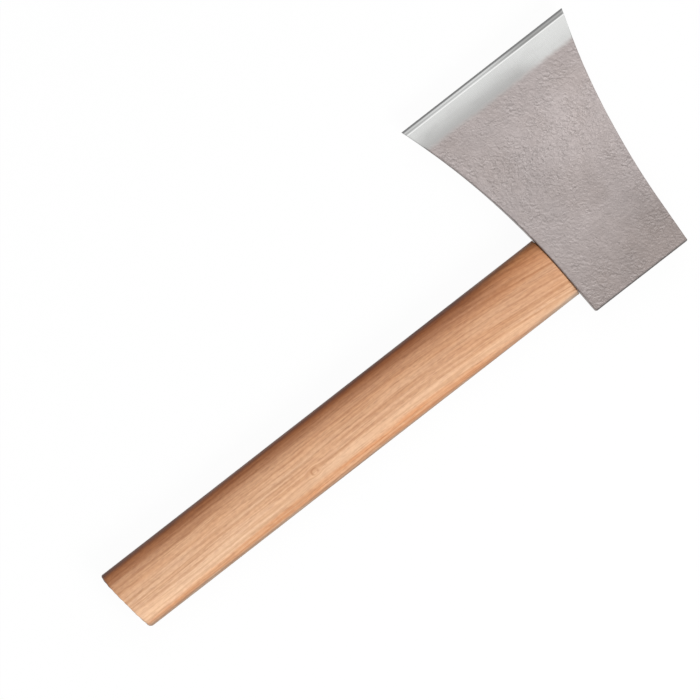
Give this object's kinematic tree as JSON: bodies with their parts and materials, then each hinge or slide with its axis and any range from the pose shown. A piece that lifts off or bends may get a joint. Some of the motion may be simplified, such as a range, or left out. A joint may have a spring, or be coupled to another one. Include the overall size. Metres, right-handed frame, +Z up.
{
  "type": "hatchet",
  "caption": "Hatchet with a forged steel head, a flat poll, a symmetrically flared straight-edged blade and a straight oval hardwood handle wedged into the eye.",
  "frame": {"origin": "on the surface that the hatchet lies on, under the middle of its bounding box", "axes": "+X along the handle from the butt to the top of the head, +Y from the poll to the cutting edge, +Z up through the thickness, with the hatchet lying on its cheek"},
  "size_m": [0.3568, 0.1304, 0.022],
  "materials": {
    "forged_steel": "forged and tumbled warm grey steel with a fine wrinkled grain; the last 15 mm before the edge are ground and polished",
    "hickory": "sanded and oiled light hardwood with long fine grain, a browner heartwood side towards the blade",
    "wedge_wood": "raw darker hardwood, end grain showing at the top of the eye",
    "wedge_steel": "bare stamped steel, dull grey, hammered flat at the top"
  },
  "bodies": {
    "root": {"head": "forged_steel", "handle": "hickory", "wood_wedge": "wedge_wood", "steel_wedge_front": "wedge_steel", "steel_wedge_back": "wedge_steel"}
  },
  "joints": []
}
